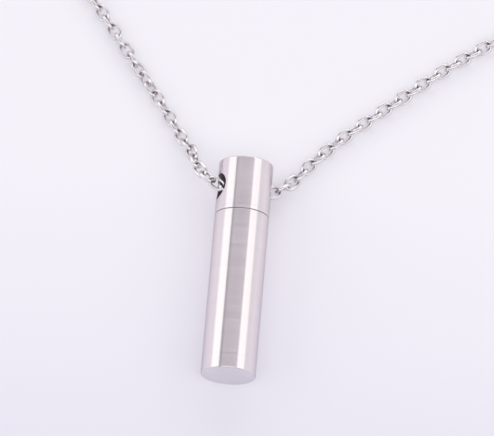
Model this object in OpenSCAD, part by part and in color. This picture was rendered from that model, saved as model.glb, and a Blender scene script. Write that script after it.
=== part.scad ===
// Keepsake urn pendant on a cable chain, lying on a flat surface.
// Lengths are in millimetres. The urn's axis runs along Y, its closed end towards -Y.

/* [Urn] */
// Outer diameter of the cap and the body
urn_d = 9; // [8.8:0.1:9.2]
// Length of the body, from its mouth to its closed end
body_len = 27.6; // [24:0.1:34]
// Length of the cap, without its post
cap_len = 9.2; // [8.6:0.1:10]
// Gap that shows as the dark line between the cap and the body
seam = 0.12; // [0.1:0.01:0.2]
// Diameter of the chamber
bore_d = 7; // [6.4:0.1:7.4]
// Thickness of the closed end
floor_t = 1.6; // [1.2:0.1:2.5]
// Bevel on the two end faces
end_bevel = 0.2; // [0.1:0.05:0.3]
// Bevel on the two rims that meet at the seam
rim_bevel = 0.05; // [0.02:0.01:0.08]

/* [Post] */
// Clearance around the post in the chamber, measured on the radius
post_gap = 0.1; // [0.05:0.01:0.15]
// Length of the post below the cap
post_len = 5; // [3:0.1:6]
// Bevel on the post's end
post_bevel = 0.3; // [0.1:0.05:0.4]
// Bevel inside the body's mouth
mouth_bevel = 0.2; // [0.1:0.05:0.3]

/* [Chain hole] */
// Diameter of the hole across the cap
hole_d = 4.4; // [4.4:0.1:4.6]
// How far the urn is rolled, which tips up the left mouth of the hole
hole_tilt = 18; // [17:1:19]

/* [Chain] */
// Thickness of the wire
wire = 0.6; // [0.5:0.01:0.6]
// Length of a link over the outside
link_len = 3.4; // [3.35:0.01:3.45]
// Width of a link over the outside
link_w = 2.35; // [2.3:0.01:2.4]
// How far single links lean out of the even roll, in degrees
wobble = 4; // [0:1:5]
// Number of links, which has to be even
link_count = 240; // [240:2:240]

/* [Clasp] */
// Length of the hook's loop over the outside
hook_len = 9.5; // [9:0.1:10]
// Width of the hook's loop over the outside
hook_w = 5.2; // [5:0.1:5.6]
// Thickness of the loop where it passes through a link
hook_wire = 0.85; // [0.8:0.05:0.85]
// Thickness of the back, on which the clasp lies
back_d = 2.4; // [2.3:0.05:2.4]
// Thickness of the eye's ring
eye_wire = 0.75; // [0.7:0.05:0.8]
// Outer diameter of the eye
eye_d = 3.2; // [3.1:0.1:3.4]

/* [Hidden] */
$fn = 96;

urn_r = urn_d/2;
bore_r = bore_d/2;
post_r = bore_r - post_gap;
hole_r = hole_d/2;
body_end = -body_len;
cap_start = seam;
cap_end = cap_start + cap_len;
post_end = cap_start - post_len;
hole_y = cap_start + cap_len/2;

bend_r = (link_w - wire)/2;
link_straight = link_len - link_w;
hook_r = (hook_w - hook_wire)/2;
hook_straight = hook_len - hook_w;
eye_r = (eye_d - eye_wire)/2;

// Height of the chain's middle line where it lies on the surface.
// A roll of 0 lays every second link flat, and 45 leans all of them alike.
function lying(roll) = wire/2 + bend_r*max([
    for (r = [roll - wobble, roll + wobble]) max(abs(cos(r)), abs(sin(r)))]);

// The middle line of the chain runs through points. Each one gives x, y,
// the lift above the lying height, and the roll of the links.
function on_floor(x, y, roll) = [x, y, 0, roll];
function in_air(x, y, z, roll) = [x, y, z - lying(roll), roll];

// In the hole the chain lies on the wall. A point there gives its way along
// the hole towards the left mouth, and its way towards +Y.
sag = 0.78;
function in_hole(way, side, roll) = in_air(
    -way*cos(hole_tilt) - sag*sin(hole_tilt), hole_y + side,
    urn_r + way*sin(hole_tilt) - sag*cos(hole_tilt), roll);

// The far stretch runs round a circle, from the angle where each side joins it
// to the clasp. The end links stand upright to hold the clasp's bars.
ring_x = 14;
ring_y = 108;
ring_r = 74;
ring_parts = 7;
right_join = -41;
right_end = 86.9;
left_end = 94.4;
left_join = 212;
leaning = 45;
function on_ring(angle, roll) = on_floor(ring_x + ring_r*cos(angle), ring_y + ring_r*sin(angle), roll);
function ring_side(join, end, end_roll) = [
    for (i = [0:ring_parts]) on_ring(join + (end - join)*i/ring_parts,
        i == ring_parts ? end_roll : i == ring_parts - 1 ? (leaning + end_roll)/2 : leaning)];
function backwards(points) = [for (i = [len(points) - 1:-1:0]) points[i]];

// On the right every second link lies nearly flat
flat = -37;
from_right_mouth = [
    in_air(urn_r + 1.1, 6.1, 2.1, -8), on_floor(urn_r + 3.5, 8.3, -24), on_floor(10.9, 12, flat),
    on_floor(13.3, 14.5, flat), on_floor(16.1, 17.3, flat), on_floor(19.1, 19.9, flat),
    on_floor(25.3, 25.1, flat), on_floor(31.5, 30.3, flat), on_floor(38, 35.1, flat),
    on_floor(44, 39.2, -20), on_floor(50, 43.4, 8), on_floor(56, 49, 32)];
through_hole = [in_hole(-3, 0, 12), in_hole(-0.5, -0.5, 33), in_hole(3.2, 0.3, leaning)];
from_left_mouth = [
    in_air(-urn_r - 0.9, 6.1, 4.6, leaning), in_air(-urn_r - 3.4, 8.5, 3.8, 48),
    in_air(-9.4, 12, 2.4, 53), on_floor(-11.5, 15, 56), on_floor(-14.1, 19, 56),
    on_floor(-19.6, 26.5, 20), on_floor(-25, 34.1, -26), on_floor(-31.2, 42.6, -32),
    on_floor(-39, 54.6, 4)];
route = concat(
    backwards(concat(from_right_mouth, ring_side(right_join, right_end, 90))), through_hole,
    from_left_mouth, ring_side(left_join, left_end, 0));

// A smooth curve through the route's points, in short steps
function span(a, b) = norm([b.x - a.x, b.y - a.y, b.z - a.z]);
function mid_slope(a, b, c) = let (u = span(a, b), v = span(b, c)) ((b - a)/u*v + (c - b)/v*u)/(u + v);
function route_slope(i) = let (last = len(route) - 1)
    i == 0 ? (route[1] - route[0])/span(route[0], route[1])
    : i == last ? (route[last] - route[last - 1])/span(route[last - 1], route[last])
    : mid_slope(route[i - 1], route[i], route[i + 1]);
function along(i, t) = let (l = span(route[i], route[i + 1]))
    (2*pow(t, 3) - 3*pow(t, 2) + 1)*route[i] + (pow(t, 3) - 2*pow(t, 2) + t)*l*route_slope(i)
    + (3*pow(t, 2) - 2*pow(t, 3))*route[i + 1] + (pow(t, 3) - pow(t, 2))*l*route_slope(i + 1);
steps = 12;
curve = [
    for (i = [0:len(route) - 2]) for (k = [0:steps - 1]) along(i, k/steps),
    route[len(route) - 1]];
line = [for (p = curve) [p.x, p.y, max(0, p.z) + lying(p[3])]];
line_end = len(line) - 1;
function step_after(i) = norm(line[min(i + 1, line_end)] - line[i]);
distance = [for (i = 0, s = 0; i <= line_end; s = s + step_after(i), i = i + 1) s];
pitch = distance[line_end]/link_count;

// Where two links meet, in equal steps along the curve, and how each link stands
function table(values) = [for (i = [0:line_end]) [distance[i], values[i]]];
x_table = table([for (p = line) p.x]);
y_table = table([for (p = line) p.y]);
z_table = table([for (p = line) p.z]);
roll_table = table([for (p = curve) p[3]]);
joints = [
    for (i = [0:link_count]) let (s = i*pitch) [lookup(s, x_table), lookup(s, y_table), lookup(s, z_table)]];
spread = 137.5;
rolls = [
    for (i = [0:link_count - 1]) lookup((i + 0.5)*pitch, roll_table) + wobble*sin(i*spread) + 90*(i % 2)];

// The origin is on the surface, under the middle of the whole necklace
left_edge = min([for (p = joints) p.x]) - link_w/2;
right_edge = max([for (p = joints) p.x]) + link_w/2;
far_edge = joints[0].y + hook_r + back_d/2;
function tenths(x) = round(x*10)/10;
shift = [-tenths((left_edge + right_edge)/2), -tenths((body_end + far_edge)/2), 0];

// The clasp fills the space between the chain's two ends. Each end link reaches
// past its joint and holds one of the clasp's bars.
bar_gap = 0.15;
link_grip = (link_len - wire - pitch)/2;
function hold(bar) = (wire + bar)/2 + bar_gap - link_grip;
clasp_way = joints[0] - joints[link_count];
eye_x = eye_r - hold(eye_wire);
hook_x = norm(clasp_way) + hold(hook_wire) - hook_r - hook_straight/2;

// A turned piece: its outline is in radius and length, its axis runs along Y
module turned(outline) {
    translate([0, 0, urn_r]) rotate([-90, 0, 0]) rotate_extrude() polygon(outline);
}

// The cap, a solid bar with its post, drilled across for the chain
module cap() {
    color("silver") translate(shift) difference() {
        turned([
            [0, post_end], [post_r - post_bevel, post_end], [post_r, post_end + post_bevel],
            [post_r, cap_start],
            [urn_r - rim_bevel, cap_start], [urn_r, cap_start + rim_bevel], [urn_r, cap_end - end_bevel],
            [urn_r - end_bevel, cap_end], [0, cap_end]]);
        translate([0, hole_y, urn_r]) rotate([0, 90 + hole_tilt, 0])
            cylinder(h = urn_d*2, r = hole_r, center = true);
    }
}

// The body, a tube with a closed end
module urn_body() {
    color("silver") translate(shift) turned([
        [0, body_end], [urn_r - end_bevel, body_end], [urn_r, body_end + end_bevel],
        [urn_r, -rim_bevel], [urn_r - rim_bevel, 0], [bore_r + mouth_bevel, 0], [bore_r, -mouth_bevel],
        [bore_r, body_end + floor_t], [0, body_end + floor_t]]);
}

// An oval ring of round wire, its long way along X
module oval_ring(straight, radius, thick) {
    for (end = [0, 180]) rotate([0, 0, end]) {
        translate([straight/2, 0, 0]) rotate([0, 0, -90]) rotate_extrude(angle = 180, $fn = 48)
            translate([radius, 0]) circle(d = thick, $fn = 24);
        translate([0, radius, 0]) rotate([0, 90, 0])
            cylinder(h = straight, d = thick, center = true, $fn = 24);
    }
}

// The links from joint to joint, every second one turned a quarter
module chain() {
    color("gainsboro") translate(shift) for (i = [0:link_count - 1]) {
        way = joints[i + 1] - joints[i];
        heading = atan2(way.y, way.x);
        climb = atan2(way.z, norm([way.x, way.y]));
        translate((joints[i] + joints[i + 1])/2) rotate([rolls[i], -climb, heading])
            oval_ring(link_straight, bend_r, wire);
    }
}

// The clasp, a hook's loop with a thick back, and an eye behind it
module clasp() {
    color("gainsboro") translate(shift)
        translate([joints[link_count].x, joints[link_count].y, back_d/2])
        rotate([0, 0, atan2(clasp_way.y, clasp_way.x)]) {
            translate([hook_x, 0, 0]) oval_ring(hook_straight, hook_r, hook_wire);
            translate([hook_x, hook_r, 0]) capsule(hook_straight, back_d);
            translate([eye_x, 0, 0]) rotate_extrude($fn = 48)
                translate([eye_r, 0]) circle(d = eye_wire, $fn = 24);
        }
}

// A round bar with domed ends, along X
module capsule(straight, thick) {
    rotate([0, 90, 0]) cylinder(h = straight, d = thick, center = true, $fn = 48);
    for (x = [-straight/2, straight/2]) translate([x, 0, 0]) sphere(d = thick, $fn = 48);
}

cap();
urn_body();
chain();
clasp();
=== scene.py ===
import math
import bmesh
import bpy
from mathutils import Matrix, Vector


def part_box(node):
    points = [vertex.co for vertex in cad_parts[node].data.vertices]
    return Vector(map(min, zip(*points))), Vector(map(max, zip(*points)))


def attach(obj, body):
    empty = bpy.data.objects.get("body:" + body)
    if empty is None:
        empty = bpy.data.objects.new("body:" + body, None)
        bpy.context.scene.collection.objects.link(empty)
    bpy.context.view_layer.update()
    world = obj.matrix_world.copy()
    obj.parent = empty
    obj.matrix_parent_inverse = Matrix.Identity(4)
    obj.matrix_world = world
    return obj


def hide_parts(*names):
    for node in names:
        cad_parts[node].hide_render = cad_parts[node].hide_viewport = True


# Keepsake urn pendant on its cable chain, lying on a pale tabletop.
# Sizes in the dictionaries are in millimetres and degrees, the scene is in metres.
mm = 0.001
tolerance = 0.001 * mm  # points nearer than this count as one
sharpAngle = 35  # edges that turn more than this stay sharp
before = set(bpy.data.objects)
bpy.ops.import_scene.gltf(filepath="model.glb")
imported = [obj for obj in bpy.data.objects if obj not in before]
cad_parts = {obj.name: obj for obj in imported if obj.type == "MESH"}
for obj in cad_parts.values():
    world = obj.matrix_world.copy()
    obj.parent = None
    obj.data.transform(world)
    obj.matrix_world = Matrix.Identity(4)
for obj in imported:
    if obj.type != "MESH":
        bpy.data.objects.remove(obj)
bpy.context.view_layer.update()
scene = bpy.context.scene
scene.view_settings.view_transform = "Standard"
print("frame loaded")


# Camera
cameraSpec = {
    "azimuth": 4.63,  # turned a little to the right of the urn's axis
    "elevation": 69.11,
    "distance": 602,
    "focalPixels": 3647,  # focal length in pixels of the 494 pixel wide picture
    "pictureWidth": 494,
    "aimRight": 0.86,  # where the camera aims, from the middle of the seam
    "aimUp": 4.5,
    "clip": (50, 20000),
}

capLow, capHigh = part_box("cap")
bodyLow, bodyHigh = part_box("urn_body")
urnRadius = (bodyHigh.z - bodyLow.z) / 2
# The middle of the body's mouth, on the urn's axis
axisPoint = Vector(((bodyLow.x + bodyHigh.x) / 2, bodyHigh.y, (bodyLow.z + bodyHigh.z) / 2))


def makeCamera(spec):
    turn, rise = math.radians(spec["azimuth"]), math.radians(spec["elevation"])
    back = Vector((math.sin(turn) * math.cos(rise), -math.cos(turn) * math.cos(rise), math.sin(rise)))
    aim = Vector((axisPoint.x + spec["aimRight"] * mm, axisPoint.y, spec["aimUp"] * mm))
    lens = bpy.data.cameras.new("camera")
    lens.sensor_fit = "HORIZONTAL"
    lens.lens = spec["focalPixels"] / spec["pictureWidth"] * lens.sensor_width
    lens.clip_start, lens.clip_end = (distance * mm for distance in spec["clip"])
    camera = bpy.data.objects.new("camera", lens)
    camera.location = aim + back * spec["distance"] * mm
    camera.rotation_mode = "QUATERNION"
    camera.rotation_quaternion = (-back).to_track_quat("-Z", "Y")
    scene.collection.objects.link(camera)
    scene.camera = camera


makeCamera(cameraSpec)
print("camera set")


# Small helpers for nodes and meshes
def newMaterial(name):
    material = bpy.data.materials.new(name)
    material.use_nodes = True
    nodes, links = material.node_tree.nodes, material.node_tree.links
    return material, nodes, links, nodes["Principled BSDF"]


def addNode(nodes, kind, values=None, **settings):
    node = nodes.new(kind)
    for key, value in settings.items():
        setattr(node, key, value)
    for socket, value in (values or {}).items():
        node.inputs[socket].default_value = value
    return node


# Noise in the object's own coordinates, with its scale per metre, or one scale for each of X, Y and Z
def addNoise(nodes, links, coords, scale, detail, roughness=0.5):
    source = coords.outputs["Object"]
    if isinstance(scale, tuple):
        stretch = addNode(nodes, "ShaderNodeMapping", {"Scale": scale})
        links.new(source, stretch.inputs["Vector"])
        source, scale = stretch.outputs["Vector"], 1
    noise = addNode(nodes, "ShaderNodeTexNoise", {"Scale": scale, "Detail": detail, "Roughness": roughness})
    links.new(source, noise.inputs["Vector"])
    return noise.outputs["Fac"]


def addRamp(nodes, links, source, stops):
    ramp = nodes.new("ShaderNodeValToRGB")
    while len(ramp.color_ramp.elements) < len(stops):
        ramp.color_ramp.elements.new(0.5)
    for element, (place, color) in zip(ramp.color_ramp.elements, stops):
        element.position = place
        element.color = (*color, 1) if isinstance(color, tuple) else (color, color, color, 1)
    links.new(source, ramp.inputs["Fac"])
    return ramp.outputs["Color"]


# Mixes a colour into the one that comes from source, by the share that comes from factor
def addTint(nodes, links, factor, source, color):
    tint = addNode(nodes, "ShaderNodeMix", {7: (*color, 1)}, data_type="RGBA")
    links.new(factor, tint.inputs["Factor"])
    links.new(source, tint.inputs[6])
    return tint.outputs[2]


def scaled(color, factor):
    return tuple(part * factor for part in color)


def finishPiece(bm, name, materials, body, slotName, *nodeNames):
    for face in bm.faces:
        face.smooth = True
    for edge in bm.edges:
        if len(edge.link_faces) == 2 and edge.calc_face_angle() > math.radians(sharpAngle):
            edge.smooth = False
    mesh = bpy.data.meshes.new(name)
    bm.to_mesh(mesh)
    bm.free()
    for material in materials:
        mesh.materials.append(material)
    piece = bpy.data.objects.new(name, mesh)
    scene.collection.objects.link(piece)
    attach(piece, body)
    if nodeNames:
        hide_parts(*nodeNames)
    return piece


# Steel turned on a lathe: fine grooves run round the axis, so highlights stretch along it
brushedSpec = {
    "color": (0.86, 0.79, 0.80),
    "edgeTint": (0.72, 0.72, 0.76),
    "roughness": 0.25,
    "anisotropy": 0.95,
    "anisotropyTurn": 0.25,  # highlights run across the grooves
    "grooves": (60, 9000, 60),  # noise per metre on X, Y and Z: fine grooves
    "bands": (25, 700, 25),  # broader bands of the lathe's feed
    "bandShare": 0.35,
    "toneRange": (0.30, 0.70),  # the part of the noise that makes the tones
    "shades": (0.95, 1.03),
    "glosses": (0.9, 1.1),
    "grooveDepth": 0.0006,
    "bump": 0.5,
    "rings": (5, 4200, 5),  # fine rings beside the seam
    "ringRange": (0.50, 0.62),
    "ringReach": (0.88, 2.2),  # full to here from the seam, and gone here
    "ringShade": 0.93,
}

# The wall of the drilled hole is duller, and darker with painted shade; the flat closed end is brighter with
# painted light
holeShadeSpec = {
    # darker with painted shade inside the hole
    "color": (0.50, 0.44, 0.48),
    "roughness": 0.4,
    "anisotropy": 0.3,
}
endLightSpec = {
    # lighter with painted light on the flat closed end
    "color": (0.94, 0.905, 0.93),
    "roughness": 0.3,
}


def addSeamRings(nodes, links, coords, source, spec):
    low, high = spec["ringRange"]
    start, end = spec["ringReach"]
    lines = addRamp(nodes, links, addNoise(nodes, links, coords, spec["rings"], 1), [(low, 0), (high, 1)])
    place = addNode(nodes, "ShaderNodeSeparateXYZ")
    fromSeam = addNode(nodes, "ShaderNodeMath", {1: axisPoint.y}, operation="SUBTRACT")
    seamWay = addNode(nodes, "ShaderNodeMath", operation="ABSOLUTE")
    nearSeam = addNode(nodes, "ShaderNodeMapRange", {
        "From Min": start * mm, "From Max": end * mm, "To Min": 1, "To Max": 0})
    share = addNode(nodes, "ShaderNodeMath", operation="MULTIPLY")
    links.new(coords.outputs["Object"], place.inputs["Vector"])
    links.new(place.outputs["Y"], fromSeam.inputs[0])
    links.new(fromSeam.outputs[0], seamWay.inputs[0])
    links.new(seamWay.outputs[0], nearSeam.inputs["Value"])
    links.new(lines, share.inputs[0])
    links.new(nearSeam.outputs["Result"], share.inputs[1])
    return addTint(nodes, links, share.outputs[0], source, scaled(spec["color"], spec["ringShade"]))


def makeBrushedSteel(name, spec):
    material, nodes, links, shader = newMaterial(name)
    coords = addNode(nodes, "ShaderNodeTexCoord")
    groove = addNoise(nodes, links, coords, spec["grooves"], 3, 0.6)
    tone = addNode(nodes, "ShaderNodeMix", {"Factor": spec["bandShare"]}, data_type="FLOAT")
    links.new(groove, tone.inputs[2])
    links.new(addNoise(nodes, links, coords, spec["bands"], 2), tone.inputs[3])
    shade = addRamp(nodes, links, tone.outputs[0], [
        (place, scaled(spec["color"], factor)) for place, factor in zip(spec["toneRange"], spec["shades"])])
    gloss = addRamp(nodes, links, tone.outputs[0], [
        (place, spec["roughness"] * factor) for place, factor in zip(spec["toneRange"], spec["glosses"])])
    bump = addNode(nodes, "ShaderNodeBump", {"Strength": spec["bump"], "Distance": spec["grooveDepth"] * mm})
    around = addNode(nodes, "ShaderNodeTangent", direction_type="RADIAL", axis="Y")
    links.new(groove, bump.inputs["Height"])
    links.new(addSeamRings(nodes, links, coords, shade, spec), shader.inputs["Base Color"])
    links.new(gloss, shader.inputs["Roughness"])
    links.new(bump.outputs["Normal"], shader.inputs["Normal"])
    links.new(around.outputs["Tangent"], shader.inputs["Tangent"])
    shader.inputs["Metallic"].default_value = 1
    shader.inputs["Anisotropic"].default_value = spec["anisotropy"]
    shader.inputs["Anisotropic Rotation"].default_value = spec["anisotropyTurn"]
    shader.inputs["Specular Tint"].default_value = (*spec["edgeTint"], 1)
    return material


# Steel polished by tumbling, bright with faint wear, and darker with painted shade inside the bends where two
# links meet
polishedSpec = {
    "color": (0.80, 0.765, 0.775),
    # colour of the painted shade inside the links' bends
    "bendShadeColor": (0.17, 0.15, 0.155),
    "roughness": 0.12,
    "clouds": 260,  # slow changes of tone, per metre
    "cloudRange": (0.35, 0.65),
    "shades": (0.94, 1),
    "scuffs": 1800,  # fine scuffs, per metre
    "scuffRange": (0.35, 0.70),
    "glosses": (0.8, 1.5),
    "scuffDepth": 0.004,
    "bump": 0.25,
}


def makePolishedSteel(spec):
    material, nodes, links, shader = newMaterial("polishedSteel")
    coords = addNode(nodes, "ShaderNodeTexCoord")
    scuff = addNoise(nodes, links, coords, spec["scuffs"], 3, 0.6)
    cloud = addNoise(nodes, links, coords, spec["clouds"], 2)
    shade = addRamp(nodes, links, cloud, [
        (place, scaled(spec["color"], factor)) for place, factor in zip(spec["cloudRange"], spec["shades"])])
    gloss = addRamp(nodes, links, scuff, [
        (place, spec["roughness"] * factor) for place, factor in zip(spec["scuffRange"], spec["glosses"])])
    bump = addNode(nodes, "ShaderNodeBump", {"Strength": spec["bump"], "Distance": spec["scuffDepth"] * mm})
    # painted shade inside the links' bends, read from a share stored at each point
    paintedBendShade = addNode(nodes, "ShaderNodeAttribute", attribute_name="paintedBendShade")
    bendShaded = addTint(nodes, links, paintedBendShade.outputs["Fac"], shade, spec["bendShadeColor"])
    links.new(scuff, bump.inputs["Height"])
    links.new(bendShaded, shader.inputs["Base Color"])
    links.new(gloss, shader.inputs["Roughness"])
    links.new(bump.outputs["Normal"], shader.inputs["Normal"])
    shader.inputs["Metallic"].default_value = 1
    return material


brushedSteel = makeBrushedSteel("brushedSteel", brushedSpec)
holeShadeSteel = makeBrushedSteel("holeShadeSteel", {**brushedSpec, **holeShadeSpec})
endLitSteel = makeBrushedSteel("endLitSteel", {**brushedSpec, **endLightSpec})
polishedSteel = makePolishedSteel(polishedSpec)
print("materials made")


# Turned pieces: an outline in radius and length along the axis is spun round it
def turnOutline(outline, segments):
    bm = bmesh.new()
    verts = [bm.verts.new((radius * mm, along * mm, 0)) for radius, along in outline]
    edges = [bm.edges.new(pair) for pair in zip(verts, verts[1:])]
    bmesh.ops.spin(bm, geom=verts + edges, cent=(0, 0, 0), axis=(0, 1, 0), angle=2 * math.pi,
                   steps=segments, use_merge=True)
    bmesh.ops.remove_doubles(bm, verts=bm.verts, dist=tolerance)
    bmesh.ops.recalc_face_normals(bm, faces=bm.faces)
    return bm


def roundRing(bm, radius, along, width, segments=3):
    def onRing(vert):
        offRadius = abs(math.hypot(vert.co.x, vert.co.z) - radius * mm)
        return offRadius < tolerance and abs(vert.co.y - along * mm) < tolerance

    ring = [edge for edge in bm.edges if onRing(edge.verts[0]) and onRing(edge.verts[1])]
    bmesh.ops.bevel(bm, geom=ring, offset=width * mm, affect="EDGES", segments=segments, profile=0.5,
                    material=-1, clamp_overlap=True)


# Gives the faces that isSecond picks the piece's second material
def markFaces(bm, isSecond):
    for face in bm.faces:
        face.material_index = int(isSecond(face))


def keepFlatFacesFlat(piece):
    weighted = piece.modifiers.new("weightedNormals", "WEIGHTED_NORMAL")
    weighted.keep_sharp = True
    weighted.weight = 100  # large faces decide


# The body: a tube with a closed end, open where the cap's post goes in
bodySpec = {
    "chamberRadius": 3.5,
    "floor": 1.6,
    "endBevel": 0.2,
    "rimBevel": 0.05,
    "mouthBevel": 0.2,
    "segments": 160,
}


def makeBody(spec):
    length = (bodyHigh.y - bodyLow.y) / mm
    radius = urnRadius / mm
    chamber = spec["chamberRadius"]
    bottom = spec["floor"] - length
    bm = turnOutline([
        (0, -length), (radius / 2, -length), (radius, -length), (radius, -length / 2), (radius, 0),
        (chamber, 0), (chamber, bottom), (0, bottom)], spec["segments"])
    roundRing(bm, radius, -length, spec["endBevel"])
    roundRing(bm, radius, 0, spec["rimBevel"], segments=2)
    roundRing(bm, chamber, 0, spec["mouthBevel"], segments=2)
    # the flat closed end takes the copy lightened with painted light
    markFaces(bm, lambda face: all(abs(vert.co.y + length * mm) < tolerance for vert in face.verts))
    bmesh.ops.translate(bm, verts=bm.verts, vec=axisPoint)
    body = finishPiece(bm, "urnBody", [brushedSteel, endLitSteel], "urn", "brushed_steel", "urn_body")
    keepFlatFacesFlat(body)


makeBody(bodySpec)
print("body turned")


# The cap: a solid bar with a post below it, drilled across for the chain
capSpec = {
    "seam": 0.12,
    "postRadius": 3.4,
    "postBevel": 0.3,
    "endBevel": 0.2,
    "rimBevel": 0.05,
    "segments": 160,
    "holeRadius": 2.2,
    "holeTilt": 18,  # the left mouth is tipped up
    "holeSegments": 96,
    "holeRounding": 0.08,
    "holeRimAngle": 20,  # the hole's rim is rounded where it turns more than this
    "holeSlack": 0.01,  # how far off the hole's wall its rim's points may lie
}
holeTurn = Matrix.Rotation(math.radians(90 + capSpec["holeTilt"]), 3, "Y")
holeAxis = holeTurn @ Vector((0, 0, 1))
capEnd = (capHigh.y - axisPoint.y) / mm
holeAlong = (capSpec["seam"] + capEnd) / 2


def fromHoleAxis(point):
    place = point - Vector((0, holeAlong * mm, 0))
    return (place - holeAxis * place.dot(holeAxis)).length / mm


def turnBar(spec):
    radius = urnRadius / mm
    post, postEnd = spec["postRadius"], (capLow.y - axisPoint.y) / mm
    bm = turnOutline([
        (0, postEnd), (post, postEnd), (post, spec["seam"]), (radius, spec["seam"]), (radius, capEnd),
        (0, capEnd)], spec["segments"])
    roundRing(bm, post, postEnd, spec["postBevel"])
    roundRing(bm, radius, spec["seam"], spec["rimBevel"], segments=2)
    roundRing(bm, radius, capEnd, spec["endBevel"])
    return bm


def makeDrill(spec):
    bm = bmesh.new()
    bmesh.ops.create_cone(bm, cap_ends=True, segments=spec["holeSegments"], radius1=spec["holeRadius"] * mm,
                          radius2=spec["holeRadius"] * mm, depth=4 * urnRadius)
    bmesh.ops.rotate(bm, verts=bm.verts, cent=(0, 0, 0), matrix=holeTurn)
    bmesh.ops.translate(bm, verts=bm.verts, vec=(0, holeAlong * mm, 0))
    return bm


def showForCut(bm, name):
    mesh = bpy.data.meshes.new(name)
    bm.to_mesh(mesh)
    bm.free()
    piece = bpy.data.objects.new(name, mesh)
    scene.collection.objects.link(piece)
    return piece


def cutAway(bar, drill):
    cut = bar.modifiers.new("crossHole", "BOOLEAN")
    cut.operation, cut.solver, cut.object = "DIFFERENCE", "EXACT", drill
    result = bar.evaluated_get(bpy.context.evaluated_depsgraph_get())
    bm = bmesh.new()
    bm.from_mesh(result.to_mesh())
    result.to_mesh_clear()
    bpy.data.objects.remove(bar)
    bpy.data.objects.remove(drill)
    return bm


def makeCap(spec):
    bm = cutAway(showForCut(turnBar(spec), "bar"), showForCut(makeDrill(spec), "drill"))
    wall, slack = spec["holeRadius"], spec["holeSlack"]

    def onRim(vert):
        outside = math.hypot(vert.co.x, vert.co.z) > 0.99 * urnRadius
        return outside and fromHoleAxis(vert.co) < wall + slack

    rim = [edge for edge in bm.edges if onRim(edge.verts[0]) and onRim(edge.verts[1])
           and len(edge.link_faces) == 2 and edge.calc_face_angle() > math.radians(spec["holeRimAngle"])]
    bmesh.ops.bevel(bm, geom=rim, offset=spec["holeRounding"] * mm, affect="EDGES", segments=3, profile=0.5,
                    material=-1, clamp_overlap=False)
    # the hole's wall takes the copy darkened with painted shade
    markFaces(bm, lambda face: fromHoleAxis(face.calc_center_median()) < wall + 2 * slack)
    bmesh.ops.translate(bm, verts=bm.verts, vec=axisPoint)
    cap = finishPiece(bm, "drilledCap", [brushedSteel, holeShadeSteel], "necklace", "brushed_steel", "cap")
    keepFlatFacesFlat(cap)


makeCap(capSpec)
print("cap turned and drilled")


# The chain: oval links along a route, every second one turned a quarter
chainSpec = {
    "wire": 0.6,
    "linkLength": 3.4,
    "linkWidth": 2.35,
    "linkCount": 240,
    "wobble": 4,  # how far single links lean out of the even roll
    "spread": 137.5,  # the turn between the leans of next links
    "sag": 0.78,  # how far below the hole's axis the chain runs
    "ringPlace": (14, 108),  # the wide loop, from the middle of the body's mouth
    "ringRadius": 74,
    "ringParts": 7,
    "rightJoin": -41,  # where the loop begins and ends, on its circle
    "rightEnd": 86.9,
    "leftEnd": 94.4,
    "leftJoin": 212,
    "leaning": 45,  # rolls of the even links
    "flat": -37,
    "steps": 12,  # steps of the curve between two route points
    "bendSteps": 6,
    "wireSides": 6,
}


# Even and odd links that lean by roll, and by the wobble either way, lie with their middle this high
def lyingHeight(spec, roll):
    bend = (spec["linkWidth"] - spec["wire"]) / 2
    leans = [math.radians(roll - spec["wobble"]), math.radians(roll + spec["wobble"])]
    return spec["wire"] / 2 + bend * max(max(abs(math.cos(lean)), abs(math.sin(lean))) for lean in leans)


# A route point holds x, y, the lift above the lying height, and the roll of the links
def makeRoute(spec):
    flat, leaning, wall = spec["flat"], spec["leaning"], urnRadius / mm
    tilt = math.radians(capSpec["holeTilt"])

    def onFloor(x, y, roll):
        return (x, y, 0, roll)

    def inAir(x, y, z, roll):
        return (x, y, z - lyingHeight(spec, roll), roll)

    def inHole(way, side, roll):
        return inAir(-way * math.cos(tilt) - spec["sag"] * math.sin(tilt), holeAlong + side,
                     wall + way * math.sin(tilt) - spec["sag"] * math.cos(tilt), roll)

    def ringSide(join, end, endRoll):
        parts, points = spec["ringParts"], []
        for i in range(parts + 1):
            angle = math.radians(join + (end - join) * i / parts)
            roll = endRoll if i == parts else (leaning + endRoll) / 2 if i == parts - 1 else leaning
            points.append(onFloor(spec["ringPlace"][0] + spec["ringRadius"] * math.cos(angle),
                                  spec["ringPlace"][1] + spec["ringRadius"] * math.sin(angle), roll))
        return points

    fromRightMouth = [
        inAir(wall + 1.1, 6.1, 2.1, -8), onFloor(wall + 3.5, 8.3, -24), onFloor(10.9, 12, flat),
        onFloor(13.3, 14.5, flat), onFloor(16.1, 17.3, flat), onFloor(19.1, 19.9, flat),
        onFloor(25.3, 25.1, flat), onFloor(31.5, 30.3, flat), onFloor(38, 35.1, flat),
        onFloor(44, 39.2, -20), onFloor(50, 43.4, 8), onFloor(56, 49, 32)]
    throughHole = [inHole(-3, 0, 12), inHole(-0.5, -0.5, 33), inHole(3.2, 0.3, leaning)]
    fromLeftMouth = [
        inAir(-wall - 0.9, 6.1, 4.6, leaning), inAir(-wall - 3.4, 8.5, 3.8, 48),
        inAir(-9.4, 12, 2.4, 53), onFloor(-11.5, 15, 56), onFloor(-14.1, 19, 56),
        onFloor(-19.6, 26.5, 20), onFloor(-25, 34.1, -26), onFloor(-31.2, 42.6, -32),
        onFloor(-39, 54.6, 4)]
    right = fromRightMouth + ringSide(spec["rightJoin"], spec["rightEnd"], 90)
    left = fromLeftMouth + ringSide(spec["leftJoin"], spec["leftEnd"], 0)
    return [Vector(point) for point in right[::-1] + throughHole + left]


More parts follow.
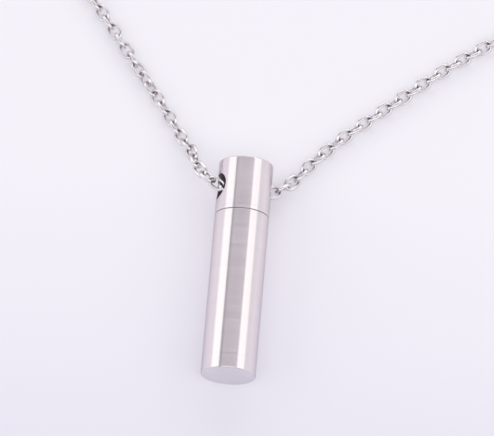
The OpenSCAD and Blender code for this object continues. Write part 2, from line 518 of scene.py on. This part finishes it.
# A smooth curve through the route, in short steps
def smoothRoute(spec, route):
    last = len(route) - 1

    def span(a, b):
        return (b - a).to_3d().length

    def slope(i):
        if i == 0 or i == last:
            first = min(i, last - 1)
            return (route[first + 1] - route[first]) / span(route[first], route[first + 1])
        before, after = span(route[i - 1], route[i]), span(route[i], route[i + 1])
        arriving, leaving = (route[i] - route[i - 1]) / before, (route[i + 1] - route[i]) / after
        return (arriving * after + leaving * before) / (before + after)

    curve = []
    for i in range(last):
        length = span(route[i], route[i + 1])
        for k in range(spec["steps"]):
            t = k / spec["steps"]
            curve.append((2 * t**3 - 3 * t**2 + 1) * route[i] + (t**3 - 2 * t**2 + t) * length * slope(i)
                         + (3 * t**2 - 2 * t**3) * route[i + 1] + (t**3 - t**2) * length * slope(i + 1))
    curve.append(route[last])
    line = [Vector((p[0], p[1], max(0, p[2]) + lyingHeight(spec, p[3]))) for p in curve]
    return line, [p[3] for p in curve]


# Places and turns the links, whose meeting points stand in equal steps along the line
def placeLinks(spec):
    line, lineRolls = smoothRoute(spec, makeRoute(spec))
    distances = [0]
    for a, b in zip(line, line[1:]):
        distances.append(distances[-1] + (b - a).length)
    pitch = distances[-1] / spec["linkCount"]

    def lookUp(values, distance):
        distance = min(max(distance, 0), distances[-1])
        i = max(k for k in range(len(distances) - 1) if distances[k] <= distance)
        share = (distance - distances[i]) / (distances[i + 1] - distances[i])
        return values[i] * (1 - share) + values[i + 1] * share

    meetings = [lookUp(line, i * pitch) for i in range(spec["linkCount"] + 1)]
    places = []
    for i, (a, b) in enumerate(zip(meetings, meetings[1:])):
        way = b - a
        lean = spec["wobble"] * math.sin(math.radians(i * spec["spread"]))
        roll = lookUp(lineRolls, (i + 0.5) * pitch) + lean + 90 * (i % 2)
        turn = (Matrix.Rotation(math.atan2(way.y, way.x), 4, "Z")
                @ Matrix.Rotation(-math.atan2(way.z, math.hypot(way.x, way.y)), 4, "Y")
                @ Matrix.Rotation(math.radians(roll), 4, "X"))
        middle = (a + b) / 2 * mm
        place = Vector((axisPoint.x + middle.x, axisPoint.y + middle.y, middle.z))
        places.append(Matrix.Translation(place) @ turn)
    return places


# One oval link of round wire, its long way along X
def makeOval(straight, radius, thick, sides, bendSteps):
    bm = bmesh.new()
    made = bmesh.ops.create_circle(bm, segments=sides, radius=thick / 2 * mm)
    upright = Matrix.Rotation(math.radians(90), 3, "Y")
    bmesh.ops.rotate(bm, verts=made["verts"], cent=(0, 0, 0), matrix=upright)
    bmesh.ops.translate(bm, verts=made["verts"], vec=(straight / 2 * mm, -radius * mm, 0))
    first = list(bm.edges)
    ring = first
    for end in (1, -1):
        spun = bmesh.ops.spin(bm, geom=ring, cent=(end * straight / 2 * mm, 0, 0), axis=(0, 0, 1),
                              angle=math.pi, steps=bendSteps, use_merge=False)
        ring = [item for item in spun["geom_last"] if isinstance(item, bmesh.types.BMEdge)]
        if end == 1:
            pulled = bmesh.ops.extrude_edge_only(bm, edges=ring)
            ring = [item for item in pulled["geom"] if isinstance(item, bmesh.types.BMEdge)
                    and all(vert in pulled["geom"] for vert in item.verts)]
            moved = {vert for edge in ring for vert in edge.verts}
            bmesh.ops.translate(bm, verts=list(moved), vec=(-straight * mm, 0, 0))
    bmesh.ops.bridge_loops(bm, edges=ring + first)
    bmesh.ops.recalc_face_normals(bm, faces=bm.faces)
    return bm


# Painted shade inside a link's two bends, where the next link passes: 1 there, falling to 0 along the
# straight sides
def paintedBendShadeShare(spec, point):
    bend, side = (spec["linkWidth"] - spec["wire"]) / 2, (spec["linkLength"] - spec["linkWidth"]) / 2
    past = abs(point.x) - side
    inward = (bend - math.hypot(max(past, 0), point.y)) / (spec["wire"] / 2)
    return min(1, max(0, inward)) * min(1, max(0, past / (bend - spec["wire"] / 2)))


# Smoothing draws a ring of points in to this share of its radius, so the mesh is made larger by it
def smoothedShare(stepAngle):
    return (2 + math.cos(stepAngle)) / 3


def makeChain(spec):
    bend = (spec["linkWidth"] - spec["wire"]) / 2 / smoothedShare(math.pi / spec["bendSteps"])
    thick = spec["wire"] / smoothedShare(2 * math.pi / spec["wireSides"])
    oval = makeOval(spec["linkLength"] - spec["linkWidth"], bend, thick, spec["wireSides"], spec["bendSteps"])
    link = bpy.data.meshes.new("link")
    oval.to_mesh(link)
    oval.free()
    paintedBendShade = [paintedBendShadeShare(spec, vert.co / mm) for vert in link.vertices]
    places = placeLinks(spec)
    bm = bmesh.new()
    for place in places:
        before = len(bm.verts)
        bm.from_mesh(link)
        bm.verts.ensure_lookup_table()
        bmesh.ops.transform(bm, matrix=place, verts=bm.verts[before:])
    bpy.data.meshes.remove(link)
    chain = finishPiece(bm, "chainLinks", [polishedSteel], "necklace", "polished_steel", "chain")
    # share of painted shade at each point of every link
    bendShadeLayer = chain.data.attributes.new("paintedBendShade", "FLOAT", "POINT")
    bendShadeLayer.data.foreach_set("value", paintedBendShade * len(places))
    for edge in chain.data.edges:
        edge.use_edge_sharp = False
    smooth = chain.modifiers.new("smooth", "SUBSURF")
    smooth.levels = smooth.render_levels = 1


makeChain(chainSpec)
print("chain laid")


# The clasp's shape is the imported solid's
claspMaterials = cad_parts["clasp"].data.materials
claspMaterials.clear()
claspMaterials.append(polishedSteel)
print("clasp polished")


# Tabletop: a pale panel, darker towards the front with painted shade, which glows softly with painted light
# that lifts its shadows
tableSpec = {
    "size": 3000,
    "color": (0.634, 0.622, 0.628),
    # colour of the painted shade towards the front
    "frontShadeColor": (0.563, 0.555, 0.588),
    # painted glow that lifts the shadows, tinted bluish
    "glow": 0.43,
    "glowColor": (1.0, 0.98, 1.12),
    # way along the urn's axis from the body's mouth, share of the painted front shade
    "tones": [(-60, 1.0), (-36, 0.85), (-20, 0.42), (0, 0.14), (9, 0)],
    "clouds": 6,  # slow changes of tone, per metre
    "cloudRange": (0.3, 0.7),
    "shades": (0.995, 1),
    "roughness": 0.9,
    "specular": 0.1,
}


def makePaper(spec):
    material, nodes, links, shader = newMaterial("paper")
    coords = addNode(nodes, "ShaderNodeTexCoord")
    first, last = spec["tones"][0][0], spec["tones"][-1][0]
    along = addNode(nodes, "ShaderNodeSeparateXYZ")
    span = addNode(nodes, "ShaderNodeMapRange", {
        "From Min": axisPoint.y + first * mm, "From Max": axisPoint.y + last * mm})
    links.new(coords.outputs["Object"], along.inputs["Vector"])
    links.new(along.outputs["Y"], span.inputs["Value"])
    share = addRamp(nodes, links, span.outputs["Result"], [
        ((way - first) / (last - first), tone) for way, tone in spec["tones"]])
    paper = addRamp(nodes, links, addNoise(nodes, links, coords, spec["clouds"], 2), [
        (place, scaled(spec["color"], factor)) for place, factor in zip(spec["cloudRange"], spec["shades"])])
    # painted shade towards the front
    tone = addTint(nodes, links, share, paper, spec["frontShadeColor"])
    # painted glow: the tone, tinted bluish, shines out so that shadows on the panel stay light
    lit = addNode(nodes, "ShaderNodeMix", {0: 1, 7: (*spec["glowColor"], 1)}, data_type="RGBA",
                  blend_type="MULTIPLY")
    links.new(tone, lit.inputs[6])
    links.new(tone, shader.inputs["Base Color"])
    links.new(lit.outputs[2], shader.inputs["Emission Color"])
    shader.inputs["Emission Strength"].default_value = spec["glow"]
    shader.inputs["Roughness"].default_value = spec["roughness"]
    shader.inputs["Specular IOR Level"].default_value = spec["specular"]
    return material


def makeTabletop(spec):
    bm = bmesh.new()
    bmesh.ops.create_grid(bm, x_segments=1, y_segments=1, size=spec["size"] / 2 * mm)
    mesh = bpy.data.meshes.new("tabletop")
    bm.to_mesh(mesh)
    bm.free()
    mesh.materials.append(makePaper(spec))
    tabletop = bpy.data.objects.new("tabletop", mesh)
    scene.collection.objects.link(tabletop)


# Light: a grey room with soft boxes, which make the bright bands along the urn
lightSpec = {
    "worldColor": (0.34, 0.33, 0.372),
    "innerColor": (1.0, 1.035, 1.0),  # the two boxes whose reflections are the bright bands
    "outerColor": (1.0, 0.985, 1.0),
    "distance": 700,
    # compass direction, near and far edge in degrees from straight up, length, radiance
    "boxes": {
        "rightInner": (90, 36, 68, 1200, 0.95),
        "rightOuter": (90, 68, 90, 1200, 0.52),
        "leftInner": (-90, 41, 76, 1200, 0.98),
        "leftOuter": (-90, 76, 90, 1200, 0.56),
        "back": (2, 38, 76, 820, 1.4),
        "front": (177, 5, 46, 820, 1.4),
    },
}


def makeLights(spec):
    world = bpy.data.worlds.new("studio")
    world.use_nodes = True
    world.node_tree.nodes["Background"].inputs["Color"].default_value = (*spec["worldColor"], 1)
    scene.world = world
    reach = spec["distance"] * mm
    for name, (compass, near, far, length, radiance) in spec["boxes"].items():
        lean, side = math.radians((near + far) / 2), math.radians(compass)
        light = bpy.data.lights.new(name, "AREA")
        light.shape = "RECTANGLE"
        light.size = length * mm
        light.size_y = 2 * reach * math.tan(math.radians((far - near) / 2))
        light.color = spec["innerColor"] if "Inner" in name else spec["outerColor"]
        light.energy = radiance * math.pi * light.size * light.size_y
        box = bpy.data.objects.new(name, light)
        out = Vector((math.sin(lean) * math.sin(side), math.sin(lean) * math.cos(side), math.cos(lean)))
        box.location = axisPoint + out * reach
        box.rotation_mode = "QUATERNION"
        box.rotation_quaternion = out.to_track_quat("Z", "Y")
        scene.collection.objects.link(box)


makeTabletop(tableSpec)
makeLights(lightSpec)
print("tabletop and lights placed")
